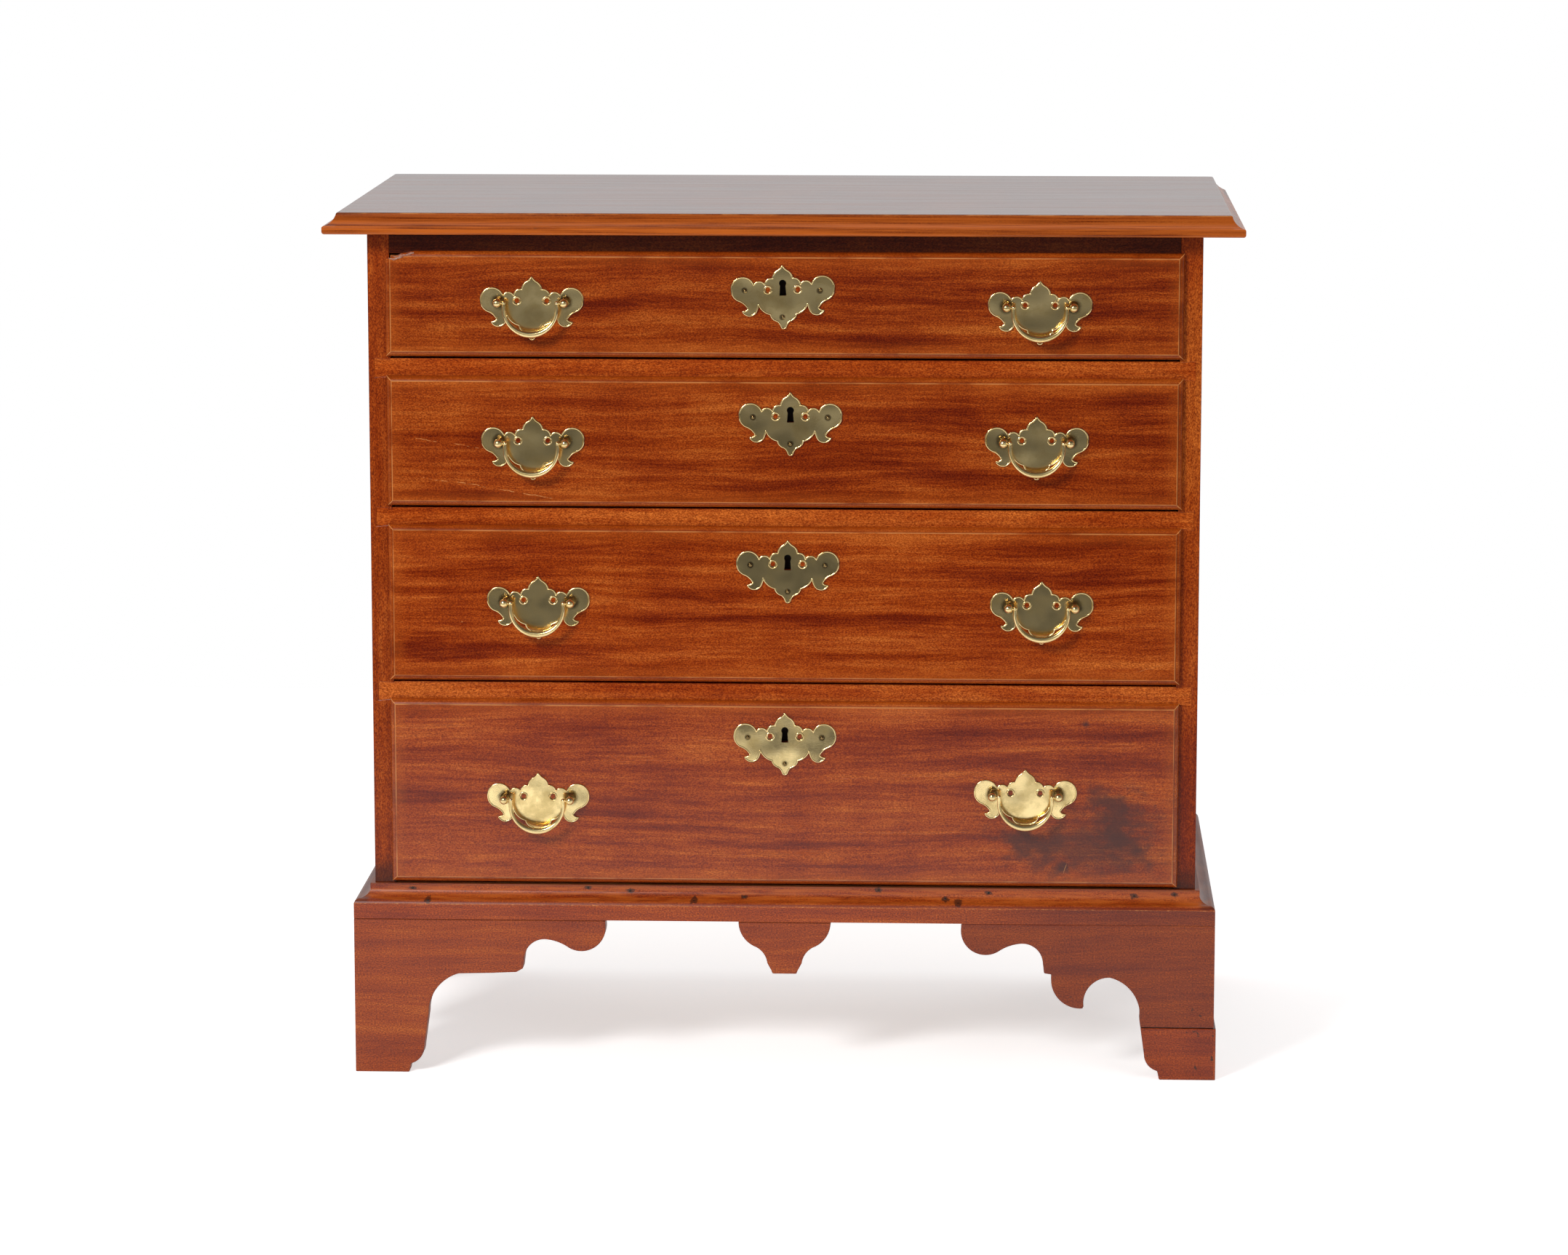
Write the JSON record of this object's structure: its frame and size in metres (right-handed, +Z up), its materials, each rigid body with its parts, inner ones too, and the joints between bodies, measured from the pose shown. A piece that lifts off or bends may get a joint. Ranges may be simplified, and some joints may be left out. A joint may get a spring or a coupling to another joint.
{
  "type": "chest of drawers",
  "caption": "Chest of graduated lipped drawers with brass bail pulls, keyhole plates and locks, under a moulded overhanging top, on scrolled bracket feet.",
  "frame": {"origin": "on the floor, under the middle of the top board", "axes": "+X to the chest's right seen from the front, +Y to its back, +Z up"},
  "size_m": [0.919, 0.5146, 0.8829],
  "materials": {
    "mahogany": "aged varnish",
    "pine": "bare, darkened",
    "plate_brass": "aged polish",
    "bail_brass": "aged polish",
    "iron": "dull, darkened"
  },
  "bodies": {
    "case": {"top_board": "mahogany", "left_side": "mahogany", "right_side": "mahogany", "bottom_board": "pine", "top_rails": "mahogany", "drawer_blades": "mahogany", "drawer_runners": "pine", "back_boards": "pine", "base_moulding": "mahogany", "front_left_foot": "mahogany", "front_right_foot": "mahogany", "rear_left_foot": "mahogany", "rear_right_foot": "mahogany", "foot_blocks": "pine", "apron_pendant": "mahogany", "case_fasteners": "iron"},
    "drawer_1": {"drawer_1_front": "mahogany", "drawer_1_sides": "pine", "drawer_1_back": "pine", "drawer_1_bottom": "pine", "drawer_1_pull_plates": "plate_brass", "drawer_1_pull_posts": "bail_brass", "drawer_1_escutcheon": "plate_brass", "drawer_1_lock": "iron"},
    "drawer_1_left_bail": {"drawer_1_left_bail": "bail_brass"},
    "drawer_1_right_bail": {"drawer_1_right_bail": "bail_brass"},
    "drawer_1_lock_bolt": {"drawer_1_lock_bolt": "iron"},
    "drawer_2": {"drawer_2_front": "mahogany", "drawer_2_sides": "pine", "drawer_2_back": "pine", "drawer_2_bottom": "pine", "drawer_2_pull_plates": "plate_brass", "drawer_2_pull_posts": "bail_brass", "drawer_2_escutcheon": "plate_brass", "drawer_2_lock": "iron"},
    "drawer_2_left_bail": {"drawer_2_left_bail": "bail_brass"},
    "drawer_2_right_bail": {"drawer_2_right_bail": "bail_brass"},
    "drawer_2_lock_bolt": {"drawer_2_lock_bolt": "iron"},
    "drawer_3": {"drawer_3_front": "mahogany", "drawer_3_sides": "pine", "drawer_3_back": "pine", "drawer_3_bottom": "pine", "drawer_3_pull_plates": "plate_brass", "drawer_3_pull_posts": "bail_brass", "drawer_3_escutcheon": "plate_brass", "drawer_3_lock": "iron"},
    "drawer_3_left_bail": {"drawer_3_left_bail": "bail_brass"},
    "drawer_3_right_bail": {"drawer_3_right_bail": "bail_brass"},
    "drawer_3_lock_bolt": {"drawer_3_lock_bolt": "iron"},
    "drawer_4": {"drawer_4_front": "mahogany", "drawer_4_sides": "pine", "drawer_4_back": "pine", "drawer_4_bottom": "pine", "drawer_4_pull_plates": "plate_brass", "drawer_4_pull_posts": "bail_brass", "drawer_4_escutcheon": "plate_brass", "drawer_4_lock": "iron"},
    "drawer_4_left_bail": {"drawer_4_left_bail": "bail_brass"},
    "drawer_4_right_bail": {"drawer_4_right_bail": "bail_brass"},
    "drawer_4_lock_bolt": {"drawer_4_lock_bolt": "iron"}
  },
  "joints": [
    {"name": "drawer_1_slide", "type": "slide", "parent": "case", "child": "drawer_1", "axis": [0, -1, 0], "range_m": [0, 0.33]},
    {"name": "drawer_1_left_bail_swing", "type": "hinge", "parent": "drawer_1", "child": "drawer_1_left_bail", "pos_m": [-0.2525, -0.24535, 0.79295], "axis": [-1, 0, 0], "range_deg": [-20, 195]},
    {"name": "drawer_1_right_bail_swing", "type": "hinge", "parent": "drawer_1", "child": "drawer_1_right_bail", "pos_m": [0.2567, -0.24535, 0.79045], "axis": [-1, 0, 0], "range_deg": [-20, 195]},
    {"name": "drawer_1_lock_bolt_throw", "type": "slide", "parent": "drawer_1", "child": "drawer_1_lock_bolt", "axis": [0, 0, 1], "range_m": [0, 0.008]},
    {"name": "drawer_2_slide", "type": "slide", "parent": "case", "child": "drawer_2", "axis": [0, -1, 0], "range_m": [0, 0.33]},
    {"name": "drawer_2_left_bail_swing", "type": "hinge", "parent": "drawer_2", "child": "drawer_2_left_bail", "pos_m": [-0.2525, -0.24535, 0.65165], "axis": [-1, 0, 0], "range_deg": [-20, 195]},
    {"name": "drawer_2_right_bail_swing", "type": "hinge", "parent": "drawer_2", "child": "drawer_2_right_bail", "pos_m": [0.2544, -0.24535, 0.65425], "axis": [-1, 0, 0], "range_deg": [-20, 195]},
    {"name": "drawer_2_lock_bolt_throw", "type": "slide", "parent": "drawer_2", "child": "drawer_2_lock_bolt", "axis": [0, 0, 1], "range_m": [0, 0.008]},
    {"name": "drawer_3_slide", "type": "slide", "parent": "case", "child": "drawer_3", "axis": [0, -1, 0], "range_m": [0, 0.33]},
    {"name": "drawer_3_left_bail_swing", "type": "hinge", "parent": "drawer_3", "child": "drawer_3_left_bail", "pos_m": [-0.2482, -0.24535, 0.4891], "axis": [-1, 0, 0], "range_deg": [-20, 195]},
    {"name": "drawer_3_right_bail_swing", "type": "hinge", "parent": "drawer_3", "child": "drawer_3_right_bail", "pos_m": [0.2607, -0.24535, 0.487], "axis": [-1, 0, 0], "range_deg": [-20, 195]},
    {"name": "drawer_3_lock_bolt_throw", "type": "slide", "parent": "drawer_3", "child": "drawer_3_lock_bolt", "axis": [0, 0, 1], "range_m": [0, 0.008]},
    {"name": "drawer_4_slide", "type": "slide", "parent": "case", "child": "drawer_4", "axis": [0, -1, 0], "range_m": [0, 0.33]},
    {"name": "drawer_4_left_bail_swing", "type": "hinge", "parent": "drawer_4", "child": "drawer_4_left_bail", "pos_m": [-0.2498, -0.24535, 0.28675], "axis": [-1, 0, 0], "range_deg": [-20, 195]},
    {"name": "drawer_4_right_bail_swing", "type": "hinge", "parent": "drawer_4", "child": "drawer_4_right_bail", "pos_m": [0.2456, -0.24535, 0.29415], "axis": [-1, 0, 0], "range_deg": [-20, 195]},
    {"name": "drawer_4_lock_bolt_throw", "type": "slide", "parent": "drawer_4", "child": "drawer_4_lock_bolt", "axis": [0, 0, 1], "range_m": [0, 0.008]}
  ]
}
